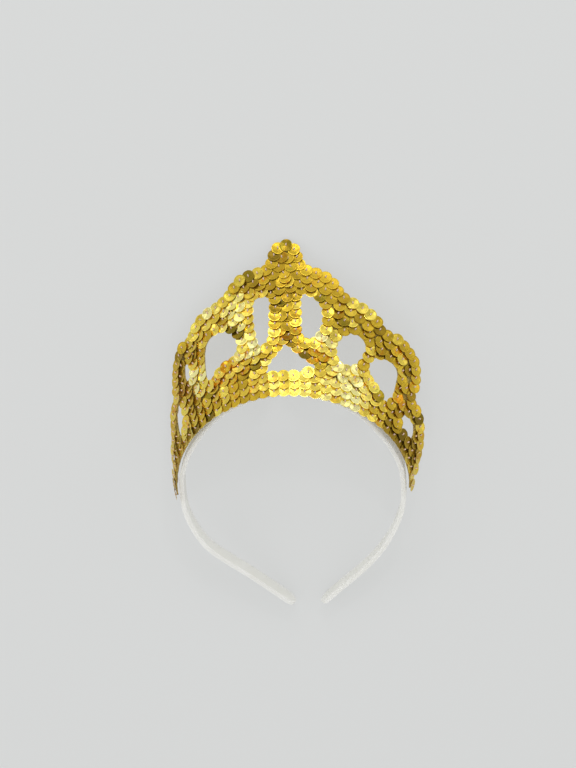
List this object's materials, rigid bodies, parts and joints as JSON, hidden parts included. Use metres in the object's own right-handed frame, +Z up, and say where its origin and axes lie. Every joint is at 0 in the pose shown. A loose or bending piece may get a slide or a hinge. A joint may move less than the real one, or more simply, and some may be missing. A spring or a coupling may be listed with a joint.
{
  "type": "sequin tiara",
  "caption": "Openwork tiara of overlapping gold sequins on stiff cloth, with a central peak and lobed sides, sewn along the front of an open plastic headband.",
  "frame": {"origin": "on the floor, below the middle of the tiara's box as it lies", "axes": "+Z up; +Y from the ends of the headband to the tip of the peak; +X to the right as seen from above, with the sequins facing up and the headband's ends towards the viewer"},
  "size_m": [0.1282, 0.1856, 0.0437],
  "materials": {
    "white_plastic": "moulded, white, slightly glossy",
    "gold_cloth": "stiff woven cloth, dull gold",
    "gold_sequins_left": "metallised gold sequins, shiny",
    "gold_sequins_right": "metallised gold sequins, shiny"
  },
  "bodies": {
    "root": {"headband": "white_plastic", "backing": "gold_cloth", "sequins_left": "gold_sequins_left", "sequins_right": "gold_sequins_right"}
  },
  "joints": []
}
